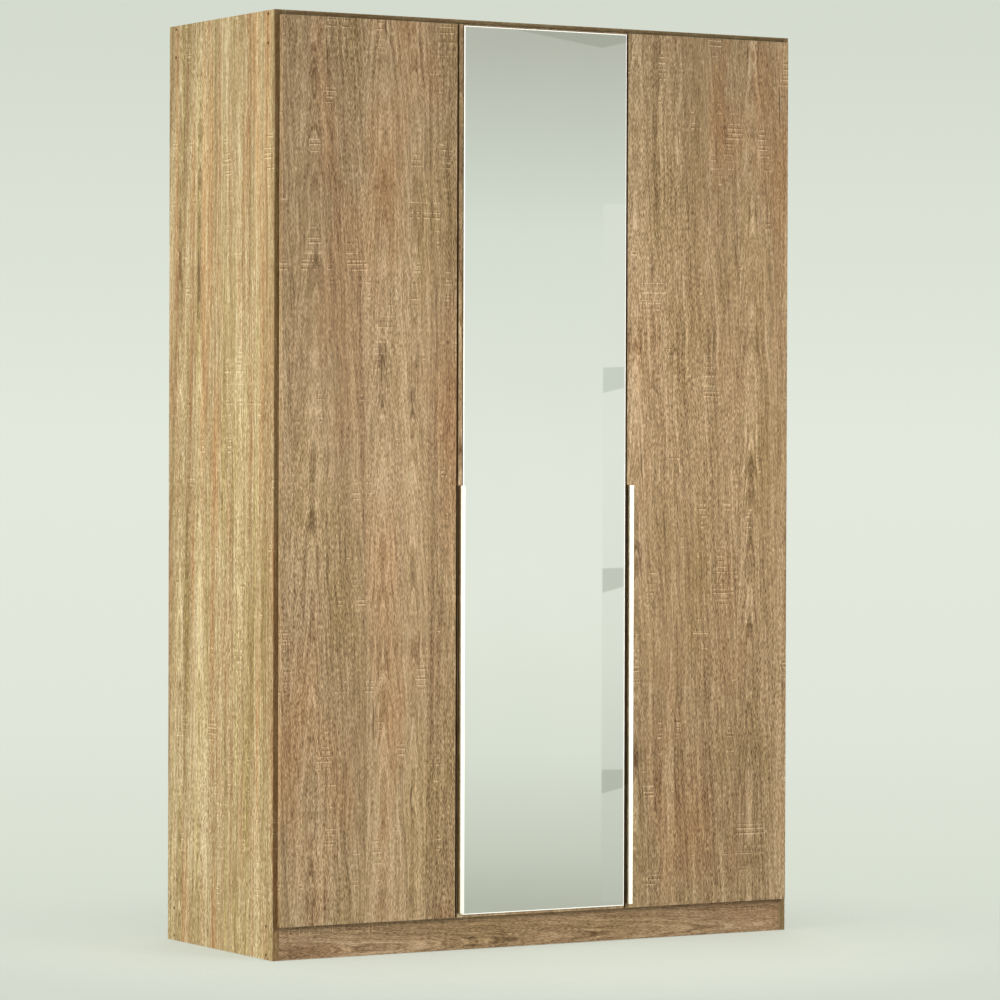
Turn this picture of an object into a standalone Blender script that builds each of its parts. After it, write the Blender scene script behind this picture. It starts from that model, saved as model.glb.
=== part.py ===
"""Three-door wardrobe of laminated board, with a mirror on the middle door.

Frame: x = 0 at mid width, y = 0 at mid depth (handles included), z = 0 on the floor.
The doors face -Y.  Lengths are in metres.
"""
import math

import bmesh
import bpy

# ---------------------------------------------------------------- driving dimensions
WIDTH = 1.360
HEIGHT = 2.100
DEPTH = 0.555                # rear edge of the sides to the front of the handles
BOARD = 0.016
GAP = 0.0003                 # left between pieces that touch

CARCASS_DEPTH = 0.522
REAR = DEPTH / 2
CARCASS_FRONT = REAR - CARCASS_DEPTH

DOOR_BACK_GAP = 0.002
DOOR_BACK = CARCASS_FRONT - DOOR_BACK_GAP
DOOR_FRONT = DOOR_BACK - BOARD
DOOR_BOTTOM = 0.075
DOOR_TOP = 2.088
DOOR_INSET = 0.011           # bare strip of side panel beside the outer doors
DOOR_GAP = 0.005

PLINTH_HEIGHT = 0.082
BOTTOM_TOP = PLINTH_HEIGHT   # upper face of the bottom panel
RAIL_HEIGHT = 0.080
RAIL_INSET = 0.032           # centre of a cross rail, from the front or rear edge
SCREW_RADIUS = 0.0035
LOWEST_SCREW = 0.010         # height of the holes for the base rails
RAIL_SCREW_DROP = 0.072      # from the top down to the holes for the top rails

GLASS_LEFT_MARGIN = 0.0108
GLASS_RIGHT_MARGIN = 0.0015
GLASS_BOTTOM = 0.081
GLASS_TOP = 2.085
GLASS = 0.004

HANDLE_WIDTH = 0.0105
HANDLE_WALL = 0.0018
HANDLE_LIP = 0.004           # turned-in edge of the grip
HANDLE_BOTTOM = 0.085
HANDLE_TOP = 1.050

BACK = 0.003                 # hardboard back
BACK_MARGIN = 0.002          # from the back's upper and lower edges to the boards'
STRIP_WEB = 0.00075          # half the web of the H-section strip between two backs
STRIP_FLANGE = 0.007         # half the width of its flanges
STRIP_WALL = 0.0008
BACK_FRONT = REAR - 0.0055
INNER_REAR = BACK_FRONT - 0.0014
SHELF_INSET = 0.020
SHELF_FRONT = CARCASS_FRONT + SHELF_INSET
HAT_SHELF_TOP = 1.680
SHELF_TOPS = (0.450, 0.820, 1.190, 1.680)
RAIL_CENTRE = (0.0, 1.600)   # y, z of the hanging rail
RAIL_RADIUS = 0.0125
RAIL_WALL = 0.0012
SOCKET_FLANGE = 0.003        # thickness
SOCKET_FLANGE_RADIUS = 0.022
SOCKET_COLLAR_RADIUS = 0.016
SOCKET_LENGTH = 0.015

# Hinge, in a plane across the axis: u runs from the hinge edge into the door and
# w runs backwards from the axis, which stands on the mirror's front plane.
AXIS_Y = DOOR_FRONT - GLASS
CUP_U = 0.022
CUP_RADIUS = 0.0172
CUP_BORE_RADIUS = 0.0175
CUP_BORE_DEPTH = 0.0115
CUP_WALL = 0.0013
CUP_FLANGE = (0.009, 0.035)  # its near and far edges, in u
CUP_WING = 0.029             # half its height
EAR_FOOT = (0.020, 0.032)    # where the ears stand in the cup, in u
EAR_FOOT_TOP = 0.0135        # in w
ARM_TOP = 0.017              # in u
ARM_SPAN = (0.0305, 0.082)   # of the channel, in w
ARM_CHAMFER = 0.004
ROOT = (0.0265, 0.0225, 0.034)  # of the cheeks: near the panel, at the top, at the channel
PLATE = 0.0022
PLATE_SPAN = (0.042, 0.074)
PLATE_WING = 0.024
ARC_INNER = 0.027
ARC_OUTER = 0.031
ARC_START = math.radians(25)
ARC_END = math.radians(75)
LINK_LAYER = (-0.0030, 0.0030)
EAR_LAYER = (0.0034, 0.0054)
CHEEK_LAYER = (0.0058, 0.0078)
HINGE_HEIGHTS = {
    "left_door": (0.175, 1.065, 1.955),
    "mirror_door": (0.175, 0.768, 1.362, 1.955),
    "right_door": (0.175, 1.065, 1.955),
}

# ---------------------------------------------------------------- derived places
SIDE_OUTER = WIDTH / 2
SIDE_INNER = SIDE_OUTER - BOARD
DOORS_OUTER = SIDE_OUTER - DOOR_INSET
DOOR_WIDTH = (2 * DOORS_OUTER - 2 * DOOR_GAP) / 3
PARTITION_X = DOORS_OUTER - DOOR_WIDTH - DOOR_GAP / 2
PARTITION_LEFT = PARTITION_X - BOARD / 2
PARTITION_RIGHT = PARTITION_X + BOARD / 2
TOP_UNDERSIDE = HEIGHT - BOARD
BOTTOM_UNDERSIDE = BOTTOM_TOP - BOARD
FRONT_RAIL_Y = CARCASS_FRONT + RAIL_INSET
REAR_RAIL_Y = REAR - RAIL_INSET
SCREW_HEIGHTS = (
    LOWEST_SCREW,
    BOTTOM_TOP - BOARD / 2,
    HEIGHT - RAIL_SCREW_DROP,
    HEIGHT - BOARD / 2,
)
DOOR_LEFT_EDGES = {
    "left_door": -DOORS_OUTER,
    "mirror_door": -DOORS_OUTER + DOOR_WIDTH + DOOR_GAP,
    "right_door": DOORS_OUTER - DOOR_WIDTH,
}
HINGED_LEFT = {"left_door": True, "mirror_door": False, "right_door": False}


# ---------------------------------------------------------------- general helpers
def clear_scene():
    """Remove whatever the file starts with."""
    for obj in list(bpy.data.objects):
        bpy.data.objects.remove(obj, do_unlink=True)


def material(name, colour, roughness, metallic=0.0):
    """A plain Principled material."""
    made = bpy.data.materials.new(name)
    made.use_nodes = True
    shader = made.node_tree.nodes["Principled BSDF"]
    shader.inputs["Base Color"].default_value = (*colour, 1.0)
    shader.inputs["Roughness"].default_value = roughness
    shader.inputs["Metallic"].default_value = metallic
    return made


def object_from(name, bm, finish, place=(0, 0, 0), parent=None):
    """Turn a bmesh into a named object with outward faces."""
    bm.normal_update()
    bmesh.ops.recalc_face_normals(bm, faces=bm.faces)
    mesh = bpy.data.meshes.new(name)
    bm.to_mesh(mesh)
    bm.free()
    return object_with(name, mesh, finish, place, parent)


def object_with(name, mesh, finish, place=(0, 0, 0), parent=None):
    """A named object that uses a mesh, placed under its parent."""
    obj = bpy.data.objects.new(name, mesh)
    if not mesh.materials:
        mesh.materials.append(finish)
    obj.location = place
    obj.parent = parent
    bpy.context.collection.objects.link(obj)
    return obj


def board(name, x_range, y_range, z_range, finish, parent=None):
    """A rectangular board between two corners, with its origin at its centre."""
    ranges = (x_range, y_range, z_range)
    size = [high - low for low, high in ranges]
    centre = [(high + low) / 2 for low, high in ranges]
    if parent:
        centre = [c - p for c, p in zip(centre, parent.location)]
    bm = bmesh.new()
    bmesh.ops.create_cube(bm, size=1.0)
    bmesh.ops.scale(bm, vec=size, verts=bm.verts)
    return object_from(name, bm, finish, centre, parent)


def prism(outline, low, high):
    """A bmesh prism: an outline in x and y, from z = low to z = high."""
    bm = bmesh.new()
    face = bm.faces.new([bm.verts.new((x, y, low)) for x, y in outline])
    grown = bmesh.ops.extrude_face_region(bm, geom=[face])["geom"]
    top = [part for part in grown if isinstance(part, bmesh.types.BMVert)]
    bmesh.ops.translate(bm, vec=(0, 0, high - low), verts=top)
    return bm


def turned(profile, steps):
    """A bmesh turned about the x axis from a closed outline of (x, radius) points."""
    bm = bmesh.new()
    verts = [bm.verts.new((x, radius, 0)) for x, radius in profile]
    edges = [bm.edges.new(pair) for pair in zip(verts, verts[1:] + verts[:1])]
    bmesh.ops.spin(bm, geom=verts + edges, cent=(0, 0, 0), axis=(1, 0, 0),
                   angle=math.tau, steps=steps, use_merge=True)
    bmesh.ops.remove_doubles(bm, verts=bm.verts, dist=1e-5)
    flat = [edge for edge in bm.edges if not edge.link_faces]
    bmesh.ops.delete(bm, geom=flat, context="EDGES")
    return bm


def cylinder_along_y(radius, y_range, steps):
    """A bmesh cylinder along y."""
    bm = bmesh.new()
    low, high = y_range
    bmesh.ops.create_cone(bm, cap_ends=True, segments=steps, radius1=radius,
                          radius2=radius, depth=high - low)
    for vert in bm.verts:
        x, y, z = vert.co
        vert.co = (x, z + (low + high) / 2, y)
    return bm


def shade(obj, angle=40):
    """Shade a round piece smooth, keeping its sharp edges."""
    obj.data.shade_smooth()
    obj.data.set_sharp_from_angle(angle=math.radians(angle))


def apply_boolean(obj, tool, operation):
    """Join or cut obj with tool, and drop the tool."""
    cut = obj.modifiers.new(operation.lower(), "BOOLEAN")
    cut.operation = operation
    cut.solver = "EXACT"
    cut.object = tool
    bpy.context.view_layer.objects.active = obj
    bpy.ops.object.modifier_apply(modifier=cut.name)
    bpy.data.objects.remove(tool, do_unlink=True)


def drill(obj, bm, place, finish):
    """Cut the shape of a bmesh out of an object, at a place in world space."""
    tool = object_from("cutter", bm, finish, place)
    bpy.context.view_layer.update()
    apply_boolean(obj, tool, "DIFFERENCE")


def finishes():
    """The finishes of the wardrobe."""
    return {
        "front_laminate": material("front_laminate", (0.40, 0.27, 0.15), 0.45),
        "carcass_laminate": material("carcass_laminate", (0.52, 0.38, 0.20), 0.45),
        "hardboard": material("hardboard", (0.62, 0.55, 0.42), 0.60),
        "strip_plastic": material("strip_plastic", (0.75, 0.74, 0.70), 0.50),
        "mirror_glass": material("mirror_glass", (0.85, 0.87, 0.85), 0.03, 1.0),
        "handle_aluminium": material("handle_aluminium", (0.82, 0.82, 0.76), 0.25, 1.0),
        "hinge_nickel": material("hinge_nickel", (0.60, 0.60, 0.58), 0.30, 1.0),
        "rail_chrome": material("rail_chrome", (0.75, 0.75, 0.75), 0.12, 1.0),
    }


# ---------------------------------------------------------------- carcass
def side_panel(name, x_range, finish):
    """A full-height side with the screw holes for the cross boards."""
    panel = board(name, x_range, (CARCASS_FRONT, REAR), (0, HEIGHT), finish)
    for y in (FRONT_RAIL_Y, REAR_RAIL_Y):
        for z in SCREW_HEIGHTS:
            hole = turned([(-BOARD, 0), (-BOARD, SCREW_RADIUS), (BOARD, SCREW_RADIUS), (BOARD, 0)], 16)
            drill(panel, hole, (sum(x_range) / 2, y, z), finish)
    return panel


def partition(finish):
    """The upright between the compartments, notched at the top for the cross rails."""
    front, rear = CARCASS_FRONT, INNER_REAR
    low, high = BOTTOM_TOP + GAP, TOP_UNDERSIDE - GAP
    half = BOARD / 2 + GAP
    notch = high - RAIL_HEIGHT - GAP
    outline = [
        (front, low),
        (rear, low),
        (rear, high),
        (REAR_RAIL_Y + half, high),
        (REAR_RAIL_Y + half, notch),
        (REAR_RAIL_Y - half, notch),
        (REAR_RAIL_Y - half, high),
        (FRONT_RAIL_Y + half, high),
        (FRONT_RAIL_Y + half, notch),
        (FRONT_RAIL_Y - half, notch),
        (FRONT_RAIL_Y - half, high),
        (front, high),
    ]
    bm = prism(outline, -BOARD / 2, BOARD / 2)
    for vert in bm.verts:
        y, z, x = vert.co
        vert.co = (x, y, z)
    return object_from("partition_panel", bm, finish, (PARTITION_X, 0, 0))


def cross_boards(finish):
    """Top, bottom, plinth and the cross rails, all between the sides."""
    x_range = (-SIDE_INNER + GAP, SIDE_INNER - GAP)
    plinth_back = CARCASS_FRONT + BOARD
    board("top_panel", x_range, (CARCASS_FRONT, INNER_REAR), (TOP_UNDERSIDE, HEIGHT), finish)
    board("bottom_panel", x_range, (plinth_back + GAP, INNER_REAR), (BOTTOM_UNDERSIDE, BOTTOM_TOP), finish)
    board("plinth_board", x_range, (CARCASS_FRONT, plinth_back), (0, PLINTH_HEIGHT), finish)
    for place, y in (("front", FRONT_RAIL_Y), ("rear", REAR_RAIL_Y)):
        y_range = (y - BOARD / 2, y + BOARD / 2)
        top = TOP_UNDERSIDE - GAP
        board(f"top_rail_{place}", x_range, y_range, (top - RAIL_HEIGHT, top), finish)
        board(f"base_rail_{place}", x_range, y_range, (0, BOTTOM_UNDERSIDE - GAP), finish)


def back(panel_finish, strip_finish):
    """Three hardboard panels joined by two H-section strips."""
    z_range = (BOTTOM_UNDERSIDE + BACK_MARGIN, HEIGHT - BACK_MARGIN)
    y_range = (BACK_FRONT, BACK_FRONT + BACK)
    edges = (-SIDE_INNER, -PARTITION_X, PARTITION_X, SIDE_INNER)
    names = ("back_panel_left", "back_panel_middle", "back_panel_right")
    for name, low, high in zip(names, edges, edges[1:]):
        inner = STRIP_WEB + GAP
        x_low = low + (GAP if low == -SIDE_INNER else inner)
        x_high = high - (GAP if high == SIDE_INNER else inner)
        board(name, (x_low, x_high), y_range, z_range, panel_finish)
    web, flange, half = STRIP_WEB, STRIP_FLANGE, BACK / 2 + GAP
    face = half + STRIP_WALL
    outline = [
        (-flange, -face), (flange, -face), (flange, -half), (web, -half),
        (web, half), (flange, half), (flange, face), (-flange, face),
        (-flange, half), (-web, half), (-web, -half), (-flange, -half),
    ]
    for name, x in (("back_joint_strip_left", -PARTITION_X), ("back_joint_strip_right", PARTITION_X)):
        place = (x, BACK_FRONT + BACK / 2, 0)
        object_from(name, prism(outline, *z_range), strip_finish, place)


def shelves(finish):
    """The hat shelf over the hanging space, and the shelves on the right."""
    y_range = (SHELF_FRONT, INNER_REAR)
    wide = (-SIDE_INNER + GAP, PARTITION_LEFT - GAP)
    narrow = (PARTITION_RIGHT + GAP, SIDE_INNER - GAP)
    board("hat_shelf", wide, y_range, (HAT_SHELF_TOP - BOARD, HAT_SHELF_TOP), finish)
    for number, top in enumerate(SHELF_TOPS, 1):
        board(f"shelf_{number}", narrow, y_range, (top - BOARD, top), finish)


def hanging_rail(finish):
    """A round tube held in a flanged socket at each end."""
    y, z = RAIL_CENTRE
    left, right = -SIDE_INNER + GAP, PARTITION_LEFT - GAP
    flange, collar, bore = SOCKET_FLANGE_RADIUS, SOCKET_COLLAR_RADIUS, RAIL_RADIUS + GAP
    profile = [
        (0, 0), (0, flange), (SOCKET_FLANGE, flange), (SOCKET_FLANGE, collar),
        (SOCKET_LENGTH, collar), (SOCKET_LENGTH, bore), (SOCKET_FLANGE, bore), (SOCKET_FLANGE, 0),
    ]
    for name, x, sign in (("rail_socket_left", left, 1), ("rail_socket_right", right, -1)):
        bm = turned([(sign * along, radius) for along, radius in profile], 24)
        shade(object_from(name, bm, finish, (x, y, z)))
    half = (right - left) / 2 - SOCKET_FLANGE - GAP
    inner = RAIL_RADIUS - RAIL_WALL
    bm = turned([(-half, inner), (-half, RAIL_RADIUS), (half, RAIL_RADIUS), (half, inner)], 24)
    shade(object_from("hanging_rail", bm, finish, ((left + right) / 2, y, z)))


# ---------------------------------------------------------------- doors
def door_axis(door, suffix):
    """An empty on a door's hinge line."""
    x = DOOR_LEFT_EDGES[door]
    if not HINGED_LEFT[door]:
        x += DOOR_WIDTH
    empty = bpy.data.objects.new(f"{door}_{suffix}", None)
    empty.location = (x, AXIS_Y, 0)
    bpy.context.collection.objects.link(empty)
    bpy.context.view_layer.update()
    return empty


def door_panel(door, axis, finish):
    """A door board with a blind bore for each hinge cup."""
    left = DOOR_LEFT_EDGES[door]
    x_range = (left, left + DOOR_WIDTH)
    panel = board(f"{door}_panel", x_range, (DOOR_FRONT, DOOR_BACK), (DOOR_BOTTOM, DOOR_TOP), finish, axis)
    cup_x = axis.location.x + (CUP_U if HINGED_LEFT[door] else -CUP_U)
    for z in HINGE_HEIGHTS[door]:
        bore = cylinder_along_y(CUP_BORE_RADIUS, (-CUP_BORE_DEPTH, CUP_BORE_DEPTH), 24)
        drill(panel, bore, (cup_x, DOOR_BACK, z), finish)


def mirror_glass(axis, finish):
    """The mirror glued to the face of the middle door."""
    left = DOOR_LEFT_EDGES["mirror_door"]
    x_range = (left + GLASS_LEFT_MARGIN, left + DOOR_WIDTH - GLASS_RIGHT_MARGIN)
    y_range = (DOOR_FRONT - GLASS, DOOR_FRONT - GAP)
    board("mirror_glass", x_range, y_range, (GLASS_BOTTOM, GLASS_TOP), finish, axis)


def handle(door, axis, finish):
    """An extruded pull along a door's free edge: a C section open away from the edge."""
    width, proud, wall, lip = HANDLE_WIDTH, REAR + DOOR_FRONT, HANDLE_WALL, HANDLE_LIP
    outline = [
        (0, -GAP), (width, -GAP), (width, -wall), (wall, -wall),
        (wall, wall - proud), (width - wall, wall - proud),
        (width - wall, wall + lip - proud), (width, wall + lip - proud),
        (width, -proud), (0, -proud),
    ]
    place = (DOOR_LEFT_EDGES[door] - axis.location.x, DOOR_FRONT - AXIS_Y, 0)
    object_from(f"{door}_handle", prism(outline, HANDLE_BOTTOM, HANDLE_TOP), finish, place, axis)


# ---------------------------------------------------------------- hinges
def arc_plate(steps=6):
    """Outline of a plate that follows the arc about the hinge axis."""
    turn = (ARC_END - ARC_START) / steps
    angles = [ARC_START + turn * step for step in range(steps + 1)]
    outer = [(ARC_OUTER * math.cos(a), ARC_OUTER * math.sin(a)) for a in angles]
    inner = [(ARC_INNER * math.cos(a), ARC_INNER * math.sin(a)) for a in reversed(angles)]
    return outer + inner


def union(obj, bm, finish):
    """Join a bmesh to an object."""
    tool = object_from("joined", bm, finish)
    bpy.context.view_layer.update()
    apply_boolean(obj, tool, "UNION")


def keep_mesh(obj):
    """Take an object's mesh as a pattern and drop the object."""
    mesh = obj.data
    bpy.data.objects.remove(obj, do_unlink=True)
    return mesh


def mirrored_layers(layer):
    """A layer above the middle plane and its twin below."""
    low, high = layer
    return (low, high), (-high, -low)


def cup_pattern(finish):
    """The cup, its mounting flange and the two ears that carry the link."""
    door_back = DOOR_BACK - AXIS_Y
    floor = door_back - CUP_BORE_DEPTH + GAP
    under, over = door_back + GAP, door_back + CUP_WALL
    near, far = CUP_FLANGE
    rim = (under + over) / 2
    cup = object_from("cup", cylinder_along_y(CUP_RADIUS, (floor, rim), 24), finish, (CUP_U, 0, 0))
    plate = prism([(near, under), (far, under), (far, over), (near, over)], -CUP_WING, CUP_WING)
    union(cup, plate, finish)
    hollow = cylinder_along_y(CUP_RADIUS - CUP_WALL, (floor + CUP_WALL, over + CUP_WALL), 24)
    drill(cup, hollow, (CUP_U, 0, 0), finish)
    inner, outer = EAR_FOOT
    sole = floor + CUP_WALL / 2
    foot = [(outer, sole), (outer, EAR_FOOT_TOP), (inner, EAR_FOOT_TOP), (inner, sole)]
    for layer in mirrored_layers(EAR_LAYER):
        union(cup, prism(arc_plate(), *layer), finish)
        union(cup, prism(foot, *layer), finish)
    cup.data.transform(cup.matrix_world)
    return keep_mesh(cup)


def link_pattern(finish):
    """The short link between the ears and the arm's cheeks."""
    return keep_mesh(object_from("link", prism(arc_plate(), *LINK_LAYER), finish))


def arm_pattern(face, finish):
    """The hinge arm: two cheeks, a channel body and a mounting plate on the panel."""
    start, top = face + GAP, ARM_TOP
    front, rear = ARM_SPAN
    body = [(start, front), (top, front), (top, rear - ARM_CHAMFER), (top - ARM_CHAMFER, rear), (start, rear)]
    arm = object_from("arm", prism(body, -CHEEK_LAYER[1], CHEEK_LAYER[1]), finish)
    low, high, joined = ROOT
    root = [(start, low), (top, high), (top, joined), (start, joined)]
    for layer in mirrored_layers(CHEEK_LAYER):
        union(arm, prism(root, *layer), finish)
        union(arm, prism(arc_plate(), *layer), finish)
    front, rear = PLATE_SPAN
    outline = [(start, front), (start + PLATE, front), (start + PLATE, rear), (start, rear)]
    union(arm, prism(outline, -PLATE_WING, PLATE_WING), finish)
    return keep_mesh(arm)


def hinges(door, axis, link_axis, patterns, finish):
    """Every hinge of a door: cup on the door, arm on the carcass, link between."""
    turn = 0.0 if HINGED_LEFT[door] else math.pi
    arm = patterns["partition_arm" if door == "mirror_door" else "side_arm"]
    for number, z in enumerate(HINGE_HEIGHTS[door], 1):
        stem = f"{door}_hinge_{number}"
        pieces = (
            object_with(f"{stem}_cup", patterns["cup"], finish, (0, 0, z), axis),
            object_with(f"{stem}_link", patterns["link"], finish, (0, 0, z), link_axis),
            object_with(f"{stem}_arm", arm, finish, (axis.location.x, AXIS_Y, z)),
        )
        for piece in pieces:
            piece.rotation_euler = (0, turn, 0)


# ---------------------------------------------------------------- assembly
def build():
    """Build the wardrobe."""
    clear_scene()
    finish = finishes()
    carcass = finish["carcass_laminate"]
    side_panel("left_side_panel", (-SIDE_OUTER, -SIDE_INNER), carcass)
    side_panel("right_side_panel", (SIDE_INNER, SIDE_OUTER), carcass)
    partition(carcass)
    cross_boards(carcass)
    back(finish["hardboard"], finish["strip_plastic"])
    shelves(carcass)
    hanging_rail(finish["rail_chrome"])
    nickel = finish["hinge_nickel"]
    partition_face = BOARD / 2 - DOOR_GAP / 2
    side_face = BOARD - DOOR_INSET
    patterns = {
        "cup": cup_pattern(nickel),
        "link": link_pattern(nickel),
        "side_arm": arm_pattern(side_face, nickel),
        "partition_arm": arm_pattern(partition_face, nickel),
    }
    for door in DOOR_LEFT_EDGES:
        axis = door_axis(door, "axis")
        link_axis = door_axis(door, "link_axis")
        door_panel(door, axis, finish["front_laminate"])
        hinges(door, axis, link_axis, patterns, nickel)
        if door == "mirror_door":
            mirror_glass(axis, finish["mirror_glass"])
        if door != "left_door":
            handle(door, axis, finish["handle_aluminium"])


build()
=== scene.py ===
# %% [markdown]
# # A wardrobe in laminated oak, with a mirror door
#
# This lesson dresses a finished model.  The boards, doors, hinges and pulls are already
# solid parts that move; here they get soft edges and real finishes, and the small
# fittings that hold them together are added: screws, nails, shelf pins and buffers.
# First the model is loaded and measured.  All lengths are in metres.

import functools
import math

import bpy
import numpy as np
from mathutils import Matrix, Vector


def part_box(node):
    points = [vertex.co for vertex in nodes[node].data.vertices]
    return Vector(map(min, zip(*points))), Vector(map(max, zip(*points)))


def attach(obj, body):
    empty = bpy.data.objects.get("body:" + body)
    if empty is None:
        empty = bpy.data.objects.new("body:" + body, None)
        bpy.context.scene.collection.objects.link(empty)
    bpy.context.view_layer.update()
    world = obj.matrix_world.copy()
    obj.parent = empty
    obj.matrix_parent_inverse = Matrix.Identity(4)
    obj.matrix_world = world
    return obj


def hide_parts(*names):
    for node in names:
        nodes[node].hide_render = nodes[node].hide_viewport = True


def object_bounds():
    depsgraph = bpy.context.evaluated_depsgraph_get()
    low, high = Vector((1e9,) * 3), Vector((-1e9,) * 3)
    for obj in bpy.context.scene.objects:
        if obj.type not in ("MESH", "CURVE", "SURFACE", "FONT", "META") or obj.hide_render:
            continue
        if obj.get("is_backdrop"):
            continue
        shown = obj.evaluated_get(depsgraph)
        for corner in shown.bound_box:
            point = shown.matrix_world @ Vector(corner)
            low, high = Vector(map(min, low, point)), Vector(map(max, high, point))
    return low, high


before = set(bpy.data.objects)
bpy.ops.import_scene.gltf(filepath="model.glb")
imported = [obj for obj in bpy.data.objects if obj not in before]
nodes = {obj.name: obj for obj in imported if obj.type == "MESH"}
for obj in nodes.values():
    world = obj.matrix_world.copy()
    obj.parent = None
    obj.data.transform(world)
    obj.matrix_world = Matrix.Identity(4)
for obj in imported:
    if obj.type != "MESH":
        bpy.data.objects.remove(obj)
cad_low, cad_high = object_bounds()
scene = bpy.context.scene
print("loaded", len(nodes), "parts; size", [round(h - l, 4) for l, h in zip(cad_low, cad_high)])

# %% [markdown]
# ## The camera
#
# A long lens from ten metres away keeps the uprights upright and the boards nearly
# parallel.  It stands to the left of the doors, at about chest height.  A camera looks
# along its own -Z, so a quarter turn about X points it forwards, and a turn about Z
# swings it to the right.

# %% Set the camera
LENS_MM = 163.8
CAMERA_PLACE = (-5.3215, -9.1532, 1.1492)
CAMERA_TURN = math.radians(30.366)
CAMERA_DIP = math.radians(0.737)
CAMERA_ROLL = math.radians(0.182)

camera = bpy.data.objects.new("camera", bpy.data.cameras.new("camera"))
camera.location = CAMERA_PLACE
camera.rotation_euler = (math.pi / 2 - CAMERA_DIP, -CAMERA_ROLL, -CAMERA_TURN)
camera.data.lens = LENS_MM
camera.data.clip_end = 200
scene.collection.objects.link(camera)
scene.camera = camera
print("camera distance", round(camera.location.length, 2))

# %% [markdown]
# ## Two helpers for materials
#
# A colour picked on a screen is an sRGB hex value, while a shader works in linear light,
# so one function turns the first into the second.  Nodes could be added by hand in the
# shader editor; a function that adds one node with its settings and its links keeps a
# long tree readable in a script.

# %% Define the helpers for materials
def linear(hex_colour):
    """sRGB hex to linear RGBA: c / 12.92 near black, ((c + 0.055) / 1.055) ** 2.4 above."""
    channels = np.array([int(hex_colour[i:i + 2], 16) for i in (1, 3, 5)]) / 255
    light = np.where(channels <= 0.04045, channels / 12.92, ((channels + 0.055) / 1.055) ** 2.4)
    return (*light.tolist(), 1.0)


def add(tree, kind, inputs=None, **settings):
    """Adds a shader node. An input is a value, a socket, or a node that gives its first output."""
    made = tree.nodes.new("ShaderNode" + kind)
    for name, value in settings.items():
        setattr(made, name, value)
    for key, value in (inputs or {}).items():
        if isinstance(value, bpy.types.Node):
            value = value.outputs[0]
        if isinstance(value, bpy.types.NodeSocket):
            tree.links.new(value, made.inputs[key])
        else:
            made.inputs[key].default_value = value
    return made


def new_material(name):
    """A material with a Principled shader, and the two things needed to fill it."""
    made = bpy.data.materials.new(name)
    made.use_nodes = True
    return made, functools.partial(add, made.node_tree), made.node_tree.nodes["Principled BSDF"]


def connect(shader, **sources):
    """Links nodes or sockets to a shader's inputs, named with _ for a space."""
    for name, source in sources.items():
        socket = source.outputs[0] if isinstance(source, bpy.types.Node) else source
        shader.id_data.links.new(socket, shader.inputs[name.replace("_", " ")])


print("light oak in linear light", [round(c, 3) for c in linear("#c3aa7d")])

# %% [markdown]
# ## Oak laminate
#
# The boards are chipboard with a printed and lightly embossed paper face, in the look of
# rough-sawn light oak.  The print repeats what a band saw leaves: strips side by side,
# fibres along the grain, pointed arches where a strip was cut off the middle of the log,
# dark checks, and short ladders of pale saw marks across the grain.
#
# A picture of wood would be the quick way.  Here the figure is worked out from noise
# instead, so it runs through the board in three dimensions and meets itself at the edges.
# In a strip that has arches, a grain line is where the distance from the strip's middle,
# plus a share of the height, stays the same: that is a pointed arch with long legs.
# Elsewhere the lines are straight.  Every finer layer is a noise laid along those lines.
#
# Where boards meet, a narrow strip along the edge is darkened: painted shade for the
# shade in the gaps between the doors and on the carcass's front edge beside them.

# %% Set the sizes of the print
AXES = {                 # which of x, y, z runs across the grain, through the board and along
    "upright_x": (0, 1, 2),
    "upright_y": (1, 0, 2),
    "lying_front": (2, 1, 0),
    "lying_flat": (1, 2, 0),
}
SEED_STEP = (0.613, 1.37)  # how far a seed moves the print, across and along
STRIP_WIDTH = 0.085      # one sawn strip of the print
STRIP_TONE = 0.16        # from the darkest strip to the lightest
SWAY = 0.035             # how far the strips wander sideways
SWAY_SCALE = (5, 5, 0.9)
ARCH_SLOPE = 0.055       # how far an arch's legs come together over its length
ARCH_TIP = 0.008         # radius of its tip
ARCH_SHIFT = 0.05        # the arches' middle lies up to this far off a strip's own
ARCH_SHARE = (0.50, 0.55)  # a strip whose random number is past these has arches
ARCH_CORE = 0.024        # round the middle of the arches the grain is bolder
BOLDER = 1.2
LEAN = 0.020             # how far knots and burls push the fibres aside
LEAN_SCALE = (7, 7, 6)
FIBRE = (0.0018, 0.0088)  # real fibres are 0.3 mm wide; drawn coarse enough to show
ROUGH_FIBRE = (0.75, 1.25)  # their strength in calm and in rough places
SAW_STEP = 0.0120        # between two saw marks
SAW_WIDTH = 0.0030       # a real mark is a hair wide; drawn coarse enough to show
SAW_MARKS = ((0.0, 0.50), (SAW_WIDTH, -0.30))  # a pale line, and a dark one beside it
SAW_RIPPLE = 0.010       # how far a row of marks bends
SAW_PATCH = (24, 24, 7)
CHECK_SCALE = (120, 90, 6)
CHECK_EDGE = (0.72, 0.78)
# Painted shade: a narrow darker strip along edges that meet across a gap, and along the carcass's
# front edge beside the doors
GAP_SHADE_WIDTH = 0.0008
GAP_SHADE_COLOUR = "#6e5433"
GAP_SHADE_COVER = 0.58
BODY_TONE = 0.5          # where the body colour lies between dark and light grain
HUES = ((0.50, 0.72, "#b4785a"), (0.50, 0.30, "#7f8a5c"))  # a red and a green drift
EMBOSS = (0.25, 0.0006)  # strength and depth of the relief
SATIN = (0.38, 0.54)     # roughness of the lacquer, from fibre to fibre
SCALES = {               # of each layer: across the lines, through and along, and its detail
    "bands": ((34, 40, 0.6), 3),
    "streaks": ((150, 150, 2.0), 2),
    "wisps": ((330, 330, 24), 1),
    "fibres": ((1 / FIBRE[0], 1 / FIBRE[0], 1 / FIBRE[1]), 0),
}
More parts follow.
